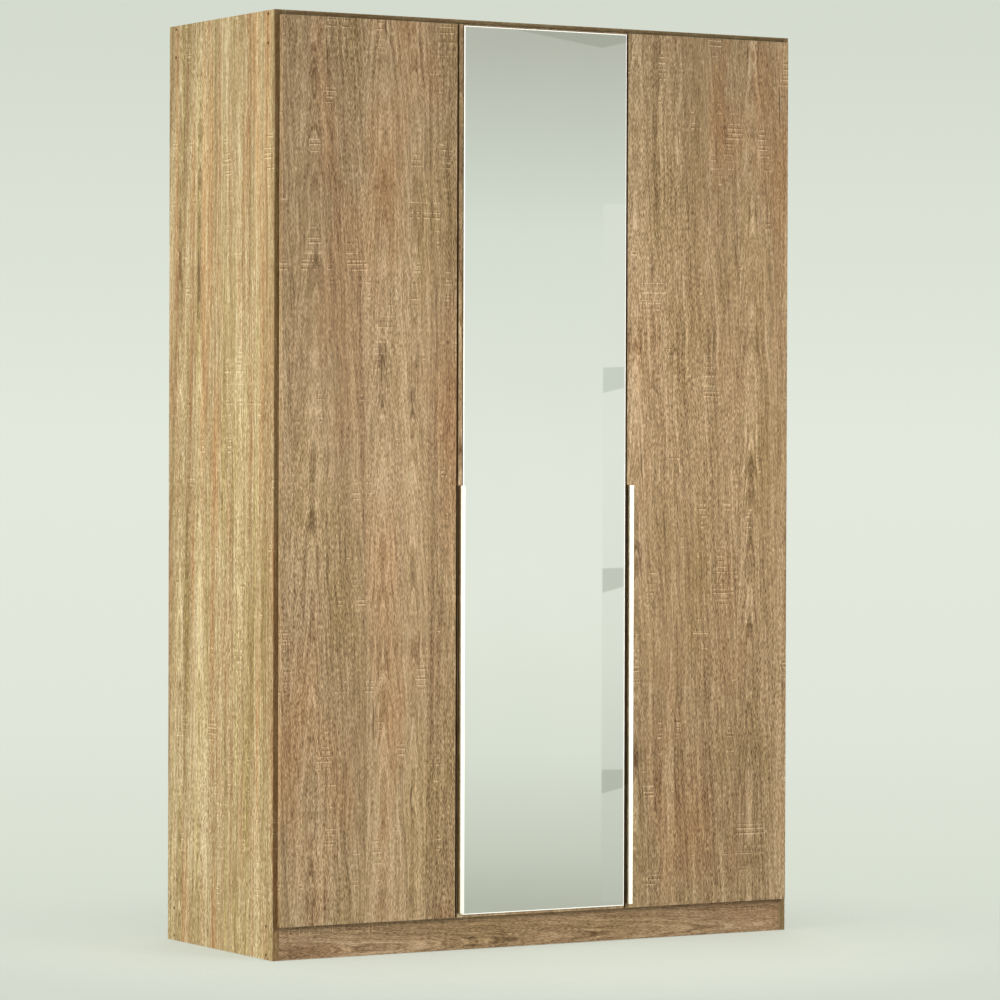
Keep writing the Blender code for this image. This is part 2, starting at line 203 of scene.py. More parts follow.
FRONT_PRINT = {
    "tones": ("#5e4429", "#6d5030", "#b89c75", "#f1d7b2"),   # checks, dark, body, light
    "strengths": {"bands": 0.62, "streaks": 0.75, "wisps": 0.72, "fibres": 1.0},
    "hue": ((10, 10, 2.2), 0.35),
}
# The plinth's tones are a darker copy of the fronts': painted shade, for the plinth set back in the
# shade under the doors
PLINTH_SHADED_PRINT = dict(FRONT_PRINT, tones=("#5e4429", "#66482b", "#ac8e6a", "#e2c4a1"))
# Its bolder figure is print; its lighter, yellower tones are partly print and partly painted light,
# for the side lit from the left
SIDE_PRINT_AND_LIGHT = {
    "tones": ("#70522c", "#89622d", "#bfa677", "#f8e7be"),
    "strengths": {"bands": 1.1, "streaks": 0.9, "wisps": 0.9, "fibres": 1.15},
    "hue": ((42, 42, 1.6), 0.75),
}
print("print with layers", sorted(SCALES))

# %% Make the oak laminate
def oak_laminate(name, axes, seed, figure, bands=()):
    """Printed oak of one figure. Along a grain line of an arched strip, the root of
    off_centre ** 2 + ARCH_TIP ** 2, plus ARCH_SLOPE * along, stays the same. Bands (axis,
    place, inwards) are edges that get a narrow darker strip: painted shade in the gaps."""
    made, node, shader = new_material(name)
    place = node("SeparateXYZ", {0: node("TexCoord").outputs["Object"]}).outputs
    across, through, along = (place[axis] for axis in AXES[axes])
    across = node("Math", {0: across, 1: seed * SEED_STEP[0]}, operation="ADD")
    along = node("Math", {0: along, 1: seed * SEED_STEP[1]}, operation="ADD")
    board = node("CombineXYZ", {0: across, 1: through, 2: along})

    spot = node("Mapping", {0: board, "Scale": SWAY_SCALE})
    sway = node("TexNoise", {"Vector": spot, "Scale": 1})
    bent = node("Math", {0: sway, 1: SWAY, 2: across}, operation="MULTIPLY_ADD")
    strips = node("TexVoronoi", {"W": bent, "Scale": 1 / STRIP_WIDTH}, voronoi_dimensions="1D")
    strip = node("SeparateColor", {0: strips.outputs["Color"]}).outputs
    off_centre = node("Math", {0: bent, 1: strips.outputs["W"]}, operation="SUBTRACT")
    off_centre = node("Math", {0: strip["Green"], 1: ARCH_SHIFT, 2: off_centre},
                      operation="MULTIPLY_ADD")
    flat = node("CombineXYZ", {0: off_centre, 1: ARCH_TIP})
    legs = node("VectorMath", {0: flat}, operation="LENGTH").outputs["Value"]
    arch = node("Math", {0: along, 1: ARCH_SLOPE, 2: legs}, operation="MULTIPLY_ADD")
    spot = node("Mapping", {0: board, "Scale": LEAN_SCALE})
    shiver = node("TexNoise", {"Vector": spot, "Scale": 1})
    rings = node("Math", {0: shiver, 1: LEAN, 2: arch}, operation="MULTIPLY_ADD")
    leaning = node("Math", {0: shiver, 1: LEAN, 2: bent}, operation="MULTIPLY_ADD")
    arched = node("MapRange", {"Value": strip["Blue"], "From Min": ARCH_SHARE[0],
                               "From Max": ARCH_SHARE[1]})
    line = node("Mix", {0: arched, 2: leaning, 3: rings}, data_type="FLOAT")
    grain = node("CombineXYZ", {0: line, 1: through, 2: along})
    swayed = node("CombineXYZ", {0: leaning, 1: through, 2: along})
    rough = node("MapRange", {"Value": sway, "From Min": 0.35, "From Max": 0.65,
                              "To Min": ROUGH_FIBRE[0], "To Max": ROUGH_FIBRE[1]})

    core = node("MapRange", {"Value": legs, "From Min": ARCH_CORE, "From Max": ARCH_TIP})
    core = node("Math", {0: core, 1: arched}, operation="MULTIPLY")
    here = node("MapRange", {"Value": shiver, "From Min": 0.48, "From Max": 0.60})
    core = node("Math", {0: core, 1: here}, operation="MULTIPLY")
    bold = node("Math", {0: core, 1: BOLDER, 2: 1.0}, operation="MULTIPLY_ADD")
    tone = node("Math", {0: strip["Red"], 1: STRIP_TONE, 2: BODY_TONE - STRIP_TONE / 2},
                operation="MULTIPLY_ADD")
    layers = {}
    for layer, (scale, detail) in SCALES.items():
        spot = node("Mapping", {0: swayed if layer == "fibres" else grain, "Scale": scale})
        layers[layer] = node("TexNoise", {"Vector": spot, "Scale": 1, "Detail": detail,
                                          "Roughness": 0.6})
        swing = node("Math", {0: layers[layer], 1: 0.5}, operation="SUBTRACT")
        if layer in ("streaks", "wisps"):
            swing = node("Math", {0: swing, 1: bold}, operation="MULTIPLY")
        if layer == "fibres":
            swing = node("Math", {0: swing, 1: rough}, operation="MULTIPLY")
        tone = node("Math", {0: swing, 1: figure["strengths"][layer], 2: tone},
                    operation="MULTIPLY_ADD")

    spot = node("Mapping", {0: board, "Scale": SAW_PATCH})
    patch = node("TexNoise", {"Vector": spot, "Scale": 1, "Detail": 1})
    patch = node("MapRange", {"Value": patch, "From Min": 0.625, "From Max": 0.655})
    ripple = node("Math", {0: shiver, 1: SAW_RIPPLE, 2: along}, operation="MULTIPLY_ADD")
    cuts = node("TexVoronoi", {"W": ripple, "Scale": 1 / SAW_STEP}, voronoi_dimensions="1D")
    beside = node("Math", {0: ripple, 1: cuts.outputs["W"]}, operation="SUBTRACT")
    chance = node("SeparateColor", {0: cuts.outputs["Color"]})
    kept = node("MapRange", {"Value": chance, "From Min": 0.2, "From Max": 0.8})
    kept = node("Math", {0: kept, 1: patch}, operation="MULTIPLY")
    ragged = node("MapRange", {"Value": layers["wisps"], "From Min": 0.36, "From Max": 0.56})
    kept = node("Math", {0: kept, 1: ragged}, operation="MULTIPLY")
    for offset, strength in SAW_MARKS:
        near = node("Math", {0: beside, 1: offset}, operation="SUBTRACT")
        near = node("MapRange", {"Value": node("Math", {0: near}, operation="ABSOLUTE"),
                                 "From Min": SAW_WIDTH * 0.6, "From Max": SAW_WIDTH * 0.25})
        near = node("Math", {0: near, 1: kept}, operation="MULTIPLY")
        tone = node("Math", {0: near, 1: strength, 2: tone}, operation="MULTIPLY_ADD")

    ramp = node("ValToRGB", {0: tone})
    stops = ramp.color_ramp.elements
    check_tone, dark_tone, body_tone, light_tone = (linear(tone) for tone in figure["tones"])
    stops[0].color, stops[1].color = dark_tone, light_tone
    stops.new(BODY_TONE).color = body_tone
    hue_scale, hue_strength = figure["hue"]
    spot = node("Mapping", {0: board, "Scale": hue_scale})
    hue = node("TexNoise", {"Vector": spot, "Scale": 1})
    colour = ramp.outputs[0]
    for low, high, tint in HUES:
        amount = node("MapRange", {"Value": hue, "From Min": low, "From Max": high,
                                   "To Max": hue_strength})
        colour = node("Mix", {0: amount, 6: colour, 7: linear(tint)}, data_type="RGBA",
                      blend_type="SOFT_LIGHT").outputs[2]
    spot = node("Mapping", {0: swayed, "Scale": CHECK_SCALE})
    checks = node("TexNoise", {"Vector": spot, "Scale": 1})
    checks = node("Math", {0: core, 1: 0.09, 2: checks}, operation="MULTIPLY_ADD")
    checks = node("MapRange", {"Value": checks, "From Min": CHECK_EDGE[0],
                               "From Max": CHECK_EDGE[1], "To Max": 0.8})
    colour = node("Mix", {0: checks, 6: colour, 7: check_tone}, data_type="RGBA").outputs[2]
    # Painted shade: each listed edge gets a narrow darker strip, standing for the shade in the gaps
    for axis, edge, inwards in bands:
        band = node("MapRange", {"Value": place[axis], "From Min": edge + inwards * GAP_SHADE_WIDTH,
                                 "From Max": edge, "To Max": GAP_SHADE_COVER})
        colour = node("Mix", {0: band, 6: colour, 7: linear(GAP_SHADE_COLOUR)},
                      data_type="RGBA").outputs[2]
    height = node("Math", {0: checks, 1: -1.0, 2: tone}, operation="MULTIPLY_ADD")
    bump = node("Bump", {"Strength": EMBOSS[0], "Distance": EMBOSS[1], "Height": height})
    gloss = node("MapRange", {"Value": layers["fibres"], "To Min": SATIN[0], "To Max": SATIN[1]})
    connect(shader, Base_Color=colour, Roughness=gloss, Normal=bump)
    shader.inputs["IOR"].default_value = 1.5
    return made


print("the darkest strip has tone", BODY_TONE - STRIP_TONE / 2)

# %% Print one laminate for each kind of board
# Edges that get painted shade: the carcass's front edge, and the doors' edges that meet across a
# gap
shaded_front_edge = [(1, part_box("left_side_panel")[0][1], 1)]
shaded_meeting_edges = {door: [(0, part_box(f"{door}_door_panel")[side][0], 1 - 2 * side) for side in sides]
           for door, sides in (("left", [1]), ("mirror", [0, 1]), ("right", [0]))}
oak = {
    "left_door": oak_laminate("oak_left_door", "upright_x", 1.0, FRONT_PRINT, shaded_meeting_edges["left"]),
    "mirror_door": oak_laminate("oak_mirror_door", "upright_x", 2.3, FRONT_PRINT,
                                shaded_meeting_edges["mirror"]),
    "right_door": oak_laminate("oak_right_door", "upright_x", 3.1, FRONT_PRINT, shaded_meeting_edges["right"]),
    "plinth": oak_laminate("oak_plinth", "lying_front", 4.0, PLINTH_SHADED_PRINT),
    "side": oak_laminate("oak_side", "upright_y", 5.0, SIDE_PRINT_AND_LIGHT, shaded_front_edge),
    "cross": oak_laminate("oak_cross_board", "lying_front", 6.2, SIDE_PRINT_AND_LIGHT),
    "shelf": oak_laminate("oak_shelf", "lying_flat", 7.4, SIDE_PRINT_AND_LIGHT, shaded_front_edge),
}
print("oak laminates", sorted(oak))

# %% [markdown]
# ## Metals, plastic and hardboard
#
# The pulls are extruded aluminium, brushed along their length and anodised, so their
# shine is stretched and soft.  The hinges are pressed steel with a satin nickel plate,
# the rail is chromed tube, and the small screws are zinc plated; the thick ones in the
# sides are nearly black, which is painted shade that makes their holes read dark.  The back
# is hardboard with a painted face, its joint strips are extruded, and the door buffers are
# soft moulded plastic.

# %% Make the metals and plastics
def worn_finish(name, colour, metallic, roughness, grain, spread=0.06, relief=0.02):
    """A finish whose gloss and tint vary by a noise; grain is its scale in 1/m along x, y and z."""
    made, node, shader = new_material(name)
    spot = node("Mapping", {0: node("TexCoord").outputs["Object"], "Scale": grain})
    grit = node("TexNoise", {"Vector": spot, "Scale": 1, "Detail": 3, "Roughness": 0.6})
    gloss = node("MapRange", {"Value": grit, "To Min": roughness - spread,
                              "To Max": roughness + spread})
    amount = node("MapRange", {"Value": grit, "From Min": 0.3, "From Max": 0.8, "To Max": 0.35})
    tint = node("Mix", {0: amount, 6: linear(colour), 7: linear("#8f8a80")}, data_type="RGBA",
                blend_type="SOFT_LIGHT")
    bump = node("Bump", {"Strength": relief, "Distance": 0.0002, "Height": grit})
    connect(shader, Base_Color=tint.outputs[2], Roughness=gloss, Normal=bump)
    shader.inputs["Metallic"].default_value = metallic
    return made


finish = {
    "aluminium": worn_finish("brushed_aluminium", "#e6e5da", 1.0, 0.22, (900, 900, 12), 0.05, 0.05),
    "nickel": worn_finish("satin_nickel_steel", "#b9b5ac", 1.0, 0.30, (700, 700, 700)),
    "chrome": worn_finish("chromed_tube", "#d8d9da", 1.0, 0.09, (30, 400, 400), 0.03, 0.01),
    "zinc": worn_finish("zinc_plated_steel", "#a8a59b", 1.0, 0.36, (900, 900, 900), 0.08),
    # Nearly black steel for the thick screws' heads: painted shade, so that their holes read dark
    "hole_shade_black": worn_finish("black_steel_hole_shade", "#1a130d", 1.0, 0.55, (900, 900, 900), 0.08),
    "hardboard": worn_finish("painted_hardboard", "#cbbd9f", 0.0, 0.62, (160, 160, 160),
                             0.08, 0.20),
    "strip": worn_finish("extruded_pvc", "#d9d5c8", 0.0, 0.48, (300, 300, 20), 0.05, 0.05),
    "buffer": worn_finish("soft_pale_plastic", "#dcdfd8", 0.0, 0.30, (500, 500, 500), 0.05, 0.02),
}
print("finishes", sorted(finish))

# %% [markdown]
# ## Mirror glass
#
# A mirror is float glass with silver behind it; its face shows a clean reflection that
# is a touch green.  The slope round its face is ground, which leaves it pale and frosted.
# It catches light from all round and shows as a thin bright line; a faint emission
# stands in for that.  The cut edge behind it looks dark, because one sees into the
# glass.  The three finishes go on one piece, face by face.

# %% Make the mirror's finishes
def silvered_glass():
    """A nearly perfect reflector with a faint unevenness in its gloss and tint."""
    made, node, shader = new_material("silvered_float_glass")
    spot = node("Mapping", {0: node("TexCoord").outputs["Object"], "Scale": (9, 9, 4)})
    cloud = node("TexNoise", {"Vector": spot, "Scale": 1})
    gloss = node("MapRange", {"Value": cloud, "To Min": 0.008, "To Max": 0.020})
    tint = node("Mix", {0: cloud, 6: linear("#f3f5f3"), 7: linear("#f6f7f5")}, data_type="RGBA")
    connect(shader, Base_Color=tint.outputs[2], Roughness=gloss)
    shader.inputs["Metallic"].default_value = 1.0
    return made


finish["silver"] = silvered_glass()
finish["ground_edge"] = worn_finish("ground_glass_slope", "#fdfdf6", 0.0, 0.35,
                                    (300, 300, 300), 0.05, 0.10)
finish["cut_edge"] = worn_finish("cut_glass_edge", "#4b4a3c", 0.0, 0.25,
                                 (300, 300, 300), 0.05, 0.10)
SLOPE_GLOW = 0.6
slope = finish["ground_edge"].node_tree.nodes["Principled BSDF"].inputs
slope["Emission Color"].default_value = linear("#fdfcf4")
slope["Emission Strength"].default_value = SLOPE_GLOW
print("mirror finishes made")

# %% [markdown]
# ## Soft edges on the boards and the hardware
#
# A real board's edge band is scraped round to about half a millimetre, and pressed steel
# has a smaller radius.  The model's parts have sharp edges, so each gets a Weld, which
# joins its loose triangles, and a Bevel, which rounds only the edges that turn sharply.
# Weighted Normal then keeps the large faces flat where they meet the small round ones.

# %% Round the edges and give every part its finish
SHARP = math.radians(35)
WELD_REACH = 0.00001
DOOR_EDGE, BOARD_EDGE, CROSS_EDGE = 0.0004, 0.0007, 0.0005
BACK_EDGE, PULL_EDGE, HARDWARE_EDGE = 0.0003, 0.0005, 0.0002


def dress(names, material, edge_radius):
    """Give parts one finish, and edges of one radius."""
    for name in names:
        part = nodes[name]
        part.data.materials.clear()
        part.data.materials.append(material)
        weld = part.modifiers.new("weld", "WELD")
        weld.merge_threshold = WELD_REACH
        rounding = part.modifiers.new("round", "BEVEL")
        rounding.width = edge_radius
        rounding.segments = 2
        rounding.limit_method = "ANGLE"
        rounding.angle_limit = SHARP
        part.data.shade_smooth()
        part.modifiers.new("keep_flats", "WEIGHTED_NORMAL")


hinge_parts = [name for name in nodes if "_hinge_" in name]
for door in ("left_door", "mirror_door", "right_door"):
    dress([f"{door}_panel"], oak[door], DOOR_EDGE)
dress(["left_side_panel", "right_side_panel", "partition_panel"], oak["side"], BOARD_EDGE)
dress(["plinth_board"], oak["plinth"], BOARD_EDGE)
dress(["top_rail_front", "top_rail_rear", "base_rail_front", "base_rail_rear"],
      oak["cross"], CROSS_EDGE)
dress(["top_panel", "bottom_panel", "hat_shelf", "shelf_1", "shelf_2", "shelf_3", "shelf_4"],
      oak["shelf"], BOARD_EDGE)
dress(["back_panel_left", "back_panel_middle", "back_panel_right"], finish["hardboard"],
      BACK_EDGE)
dress(["back_joint_strip_left", "back_joint_strip_right"], finish["strip"], HARDWARE_EDGE)
dress(["hanging_rail", "rail_socket_left", "rail_socket_right"], finish["chrome"],
      HARDWARE_EDGE)
dress(["mirror_door_handle", "right_door_handle"], finish["aluminium"], PULL_EDGE)
dress(hinge_parts, finish["nickel"], HARDWARE_EDGE)
print("dressed", len(nodes), "parts,", len(hinge_parts), "of them hinge parts")

# %% [markdown]
# ## A surface from arrays
#
# Every new piece below is a grid of points, worked out at once with numpy.  One function
# says which points make a face, one turns a shape into its place, and one joins several
# shapes into a piece and lets it ride on the body it is fixed to.

# %% Define how grids become a piece
def grid_faces(rows, columns, closed):
    """Quads (i, j), (i, j+1), (i+1, j+1), (i+1, j) of a grid, wrapped round if closed."""
    sides = columns if closed else columns - 1
    i, j = np.meshgrid(np.arange(rows - 1), np.arange(sides), indexing="ij")
    k = (j + 1) % columns
    corners = (i * columns + j, i * columns + k, (i + 1) * columns + k, (i + 1) * columns + j)
    return np.stack(corners, axis=-1).reshape(-1, 4)


def place_along(points, origin, axis):
    """Turn points so that local z runs along axis: rows side, axis x side, axis make the turn."""
    axis = np.asarray(axis, float)
    side = np.array([0.0, 0.0, 1.0]) if abs(axis[2]) < 0.5 else np.array([1.0, 0.0, 0.0])
    return points @ np.stack([side, np.cross(axis, side), axis]) + np.asarray(origin, float)


def turned(radii, heights, origin, axis, steps=16):
    """Point (i, j) at angle 2 pi j / steps, radius radii[i] and height heights[i]; a fan at
    each end, round a point on the axis, closes it. The profile runs from foot to head."""
    angle = np.arange(steps) * (math.tau / steps)
    radii, heights = np.asarray(radii)[..., None], np.asarray(heights)[..., None]
    parts = np.broadcast_arrays(radii * np.cos(angle), radii * np.sin(angle), heights)
    points = np.stack(parts, axis=-1).reshape(-1, 3)
    return close_ends(points, len(radii), steps, origin, axis)


def close_ends(points, rows, steps, origin, axis):
    """Add a centre point and a fan of triangles at the first and the last ring."""
    last, count, step = (rows - 1) * steps, rows * steps, np.arange(steps)
    following = (step + 1) % steps
    foot, head = points[:steps].mean(axis=0), points[-steps:].mean(axis=0)
    points = np.concatenate([points, [foot, head]])
    faces = grid_faces(rows, steps, True).tolist()
    faces += np.stack([np.full(steps, count), following, step], axis=-1).tolist()
    faces += np.stack([np.full(steps, count + 1), last + step, last + following], axis=-1).tolist()
    return place_along(points, origin, axis), faces


def piece(name, shells, body, materials, face_slots=None, smooth=True):
    """Join shells, each (points, faces), into one mesh that rides on a body."""
    starts = np.cumsum([0] + [len(points) for points, _ in shells])
    faces = [[corner + start for corner in face]
             for start, (_, shell) in zip(starts.tolist(), shells) for face in shell]
    mesh = bpy.data.meshes.new(name)
    mesh.from_pydata(np.concatenate([points for points, _ in shells]).tolist(), [], faces)
    for material in materials:
        mesh.materials.append(material)
    if face_slots is not None:
        mesh.polygons.foreach_set("material_index", face_slots)
    if smooth:
        mesh.shade_smooth()
        mesh.set_sharp_from_angle(angle=SHARP)
    made = bpy.data.objects.new(name, mesh)
    scene.collection.objects.link(made)
    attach(made, body)
    print(f"{name}: {len(mesh.vertices)} points, {len(mesh.polygons)} faces, rides on {body}")
    return made


print("a closed grid of 3 x 4 points has", len(grid_faces(3, 4, True)), "faces")

# %% [markdown]
# ## The mirror
#
# The pane is a flat slab with seamed edges: from the back, its outline steps out over a
# small slope, runs forwards, and slopes in again to the face.  It could be a cube with a
# Bevel, but then face, slope and edge would share a finish.  Here four-cornered loops
# are laid one behind the other and closed at both ends.

# %% Make the mirror pane
SEAM = 0.0021            # width of the ground slope round the face
SEAM_DEPTH = 0.0010
BACK_SEAM = 0.0006


def pane(low, high):
    """Corner (i, j) is corner j of the slab moved in by inset i, at depth i from the back."""
    depth = high[1] - low[1]
    inset = np.array([BACK_SEAM, 0.0, 0.0, SEAM])[:, None]
    from_back = np.array([0.0, BACK_SEAM, depth - SEAM_DEPTH, depth])[:, None]
    right, top = np.array([0, 1, 1, 0]), np.array([0, 0, 1, 1])
    x = np.where(right, high[0] - inset, low[0] + inset)
    z = np.where(top, high[2] - inset, low[2] + inset)
    points = np.stack([x, np.broadcast_to(high[1] - from_back, x.shape), z], axis=-1).reshape(-1, 3)
    last = 4 * (len(inset) - 1)
    faces = grid_faces(len(inset), 4, True).tolist()
    faces += [[3, 2, 1, 0], [last, last + 1, last + 2, last + 3]]
    return points, faces


pane_shell = pane(*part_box("mirror_glass"))
CUT, SLOPE, FACE = 2, 1, 0   # which of the three finishes a face has
pane_slots = np.repeat([CUT, SLOPE, FACE], [8, 4, 2]).astype(np.int32)
mirror = piece("mirror_pane", [pane_shell], "mirror_door",
               [finish["silver"], finish["ground_edge"], finish["cut_edge"]],
               pane_slots, smooth=False)
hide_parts("mirror_glass")

# %% [markdown]
# ## Screws
#
# Two kinds hold the wardrobe.  Thick connecting screws run through the sides into the
# cross boards; their nearly black heads sit just inside the holes, painted shade that
# makes the holes read dark.  Thin cross-head screws hold the hinges and sockets.  A recess
# could be cut with a Boolean; instead each head is one height field over a disc, low where
# the recess is, which takes few faces.

# %% Define a screw head
RINGS = 6
HEAD_STEPS = 24


def screw_head(radius, height, lobes, origin, axis):
    """Ring i has radius R * t, t from 1 to 0.02; its height falls from the dome
    h * (0.8 + 0.2 (1 - t^2)) by up to 0.6 of the smaller of h and R inside a star
    0.22 + 0.46 |cos(lobes / 2 * angle)|^4 wide."""
    angle = np.arange(HEAD_STEPS) * (math.tau / HEAD_STEPS)
    share = np.concatenate([[1.0], np.linspace(1.0, 0.02, RINGS)])[:, None]
    star = 0.22 + 0.46 * np.abs(np.cos(lobes / 2 * angle)) ** 4
    sunk = np.clip(3 * (1 - share / star), 0, 1)
    z = height * (0.8 + 0.2 * (1 - share ** 2)) - 0.6 * min(height, radius) * sunk
    z[0] = 0.0
    rings = np.stack([radius * share * np.cos(angle), radius * share * np.sin(angle), z], axis=-1)
    return close_ends(rings.reshape(-1, 3), len(share), HEAD_STEPS, origin, axis)


print("a screw head has", len(screw_head(0.003, 0.001, 4, (0, 0, 0), (0, 0, 1))[1]), "faces")

# %% [markdown]
# ## Screws in the carcass
#
# Each side has eight drilled holes, two pairs near the front and two near the rear.  The
# screw's head sits just under the surface and is coloured nearly black: painted shade, so
# that the hole looks dark.  The heads' places come from the boards they go into.

# %% Put the connecting screws in the sides
HOLE_RADIUS = 0.0033
HEAD_DEPTH = 0.0007      # from the side's face down to the head
SCREW_LENGTH = 0.012
HEXAGON = 6              # lobes of the recess


def middle(node, axis):
    """The middle of a part along an axis."""
    low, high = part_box(node)
    return (low[axis] + high[axis]) / 2


LOWEST_SCREW = 0.010     # into the cross rails near the floor
HIGH_SCREW = cad_high[2] - 0.072  # into the cross rails under the top
screw_depths = (middle("top_rail_front", 1), middle("top_rail_rear", 1))
screw_heights = (LOWEST_SCREW, middle("bottom_panel", 2), HIGH_SCREW, middle("top_panel", 2))
for name, outwards in (("left", -1), ("right", 1)):
    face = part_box(f"{name}_side_panel")[0 if outwards < 0 else 1][0]
    foot = face - outwards * (HEAD_DEPTH + SCREW_LENGTH)
    heads = [screw_head(HOLE_RADIUS, SCREW_LENGTH, HEXAGON, (foot, y, z), (outwards, 0, 0))
             for y in screw_depths for z in screw_heights]
    piece(f"{name}_connecting_screws", heads, "carcass", [finish["hole_shade_black"]])

# %% [markdown]
# ## Hinge screws
#
# A cup hinge is held by two screws through the flange into the door, and two through its
# mounting plate into the side.  On top of the arm, two more move the door sideways and
# in depth.  Screws in the flange move with the door, the others stay.

# %% Put the screws in the hinges
FLANGE = 0.0013
FLANGE_SCREW_APART = 0.023   # from the middle of the cup, up and down
PLATE_SCREW = (0.024, 0.017)  # from the arm's rear end, and up and down
PLATE = 0.0025
ARM_SCREWS = (0.014, 0.036)  # from the arm's rear end
CROSS = 4                # lobes of a cross recess; a hexagon recess has six
FLANGE_HEAD, PLATE_HEAD, ARM_HEAD = (0.0033, 0.0014), (0.0035, 0.0016), (0.0034, 0.0012)

for door in ("left_door", "mirror_door", "right_door"):
    on_door, on_side = [], []
    for cup in [name for name in hinge_parts if name.startswith(door) and name.endswith("_cup")]:
        arm_low, arm_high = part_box(cup.replace("_cup", "_arm"))
        inwards = 1 if door == "left_door" else -1
        fixed, free = (arm_low[0], arm_high[0]) if inwards > 0 else (arm_high[0], arm_low[0])
        height, rear = middle(cup, 2), arm_high[1]
        flange_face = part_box(f"{door}_panel")[1][1] + FLANGE
        for side in (-1, 1):
            place = (middle(cup, 0), flange_face, height + side * FLANGE_SCREW_APART)
            on_door.append(screw_head(*FLANGE_HEAD, CROSS, place, (0, 1, 0)))
            place = (fixed + inwards * PLATE, rear - PLATE_SCREW[0],
                     height + side * PLATE_SCREW[1])
            on_side.append(screw_head(*PLATE_HEAD, CROSS, place, (inwards, 0, 0)))
        for back in ARM_SCREWS:
            place = (free, rear - back, height)
            on_side.append(screw_head(*ARM_HEAD, CROSS, place, (inwards, 0, 0)))
    piece(f"{door}_cup_screws", on_door, door, [finish["zinc"]])
    piece(f"{door}_arm_screws", on_side, "carcass", [finish["zinc"]])

# %% [markdown]
# ## Screws in the pulls and the rail sockets
#
# The pulls are held through the floor of their channel, where the screws are hidden by
# the grip.  Each rail socket has three small screws round its collar.

# %% Put the screws in the pulls and sockets
PULL_WALL = 0.0018
PULL_HEAD = (0.0026, 0.0012)
PULL_SCREW = (0.0062, 0.04)   # from the pull's left edge, and from its ends
SOCKET_THICK = 0.003
SOCKET_HEAD = (0.0019, 0.0010)
SOCKET_SCREW_RADIUS = 0.019   # from the rail's middle

for door in ("mirror_door", "right_door"):
    low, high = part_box(f"{door}_handle")
    floor_face = high[1] - PULL_WALL
    heads = [screw_head(*PULL_HEAD, CROSS, (low[0] + PULL_SCREW[0], floor_face, z), (0, -1, 0))
             for z in np.linspace(low[2] + PULL_SCREW[1], high[2] - PULL_SCREW[1], 4)]
    piece(f"{door}_handle_screws", heads, door, [finish["zinc"]])

heads = []
for name, inwards in (("left", 1), ("right", -1)):
    low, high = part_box(f"rail_socket_{name}")
    wall = low[0] if inwards > 0 else high[0]
    for turn in np.arange(3) * math.tau / 3 + math.pi / 2:
        place = (wall + inwards * SOCKET_THICK,
                 middle(f"rail_socket_{name}", 1) + SOCKET_SCREW_RADIUS * math.cos(turn),
                 middle(f"rail_socket_{name}", 2) + SOCKET_SCREW_RADIUS * math.sin(turn))
        heads.append(screw_head(*SOCKET_HEAD, CROSS, place, (inwards, 0, 0)))
piece("rail_socket_screws", heads, "carcass", [finish["zinc"]])

# %% [markdown]
# ## Shelf pins, nails and buffers
#
# A shelf rests on four turned pins: a collar against the side and a peg under the board.
# The thin back is nailed to the rear edges of the boards, and a drop of soft plastic at
# the foot of each door takes the knock when it closes.  All three are profiles turned
# round an axis, the cheapest way to make a small round thing.

# %% Make the shelf pins
PIN_PROFILE = ((0.0045, 0.0045, 0.0030, 0.0030, 0.0024),   # radii, from the side inwards
               (0.0001, 0.0013, 0.0016, 0.0082, 0.0090))   # and how far in they are
PIN_AIR = 0.0001
PIN_INSET = 0.040        # from the shelf's front and rear edges

pins = []
for shelf in ("hat_shelf", "shelf_1", "shelf_2", "shelf_3", "shelf_4"):
    low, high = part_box(shelf)
    for x, inwards in ((low[0], 1), (high[0], -1)):
        for y in (low[1] + PIN_INSET, high[1] - PIN_INSET):
            place = (x, y, low[2] - PIN_PROFILE[0][0] - PIN_AIR)
            pins.append(turned(*PIN_PROFILE, place, (inwards, 0, 0), 12))
piece("shelf_pins", pins, "carcass", [finish["nickel"]])

# %% Nail the back on
NAIL_PROFILE = ((0.0021, 0.0023, 0.0014), (0.0, 0.0004, 0.0007))
NAIL_APART = 0.11
NAIL_INSET = 0.02        # from the ends of a row

nails = []
rows = {"back_panel_left": ("top_panel", "hat_shelf", "bottom_panel"),
        "back_panel_middle": ("top_panel", "hat_shelf", "bottom_panel"),
        "back_panel_right": ("top_panel", "shelf_4", "shelf_3", "shelf_2", "shelf_1",
                             "bottom_panel")}
for panel, boards in rows.items():
    low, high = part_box(panel)
    count = round((high[0] - low[0]) / NAIL_APART) + 1
    for x in np.linspace(low[0] + NAIL_INSET, high[0] - NAIL_INSET, count):
        nails += [turned(*NAIL_PROFILE, (x, high[1], middle(board, 2)), (0, 1, 0), 10)
                  for board in boards]
piece("back_nails", nails, "carcass", [finish["zinc"]])

# %% Stick the buffers on the doors
BUFFER_PROFILE = ((0.0030, 0.0031, 0.0026, 0.0012), (0.0, 0.0005, 0.0011, 0.0014))
BUFFER_HEIGHT = 0.0037   # above the door's lower edge
BUFFER_INSET = 0.030

for door in ("left_door", "mirror_door", "right_door"):
    low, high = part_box(f"{door}_panel")
    buffers = [turned(*BUFFER_PROFILE, (x, high[1], low[2] + BUFFER_HEIGHT), (0, 1, 0), 16)
               for x in (low[0] + BUFFER_INSET, high[0] - BUFFER_INSET)]
    piece(f"{door}_buffers", buffers, door, [finish["buffer"]])

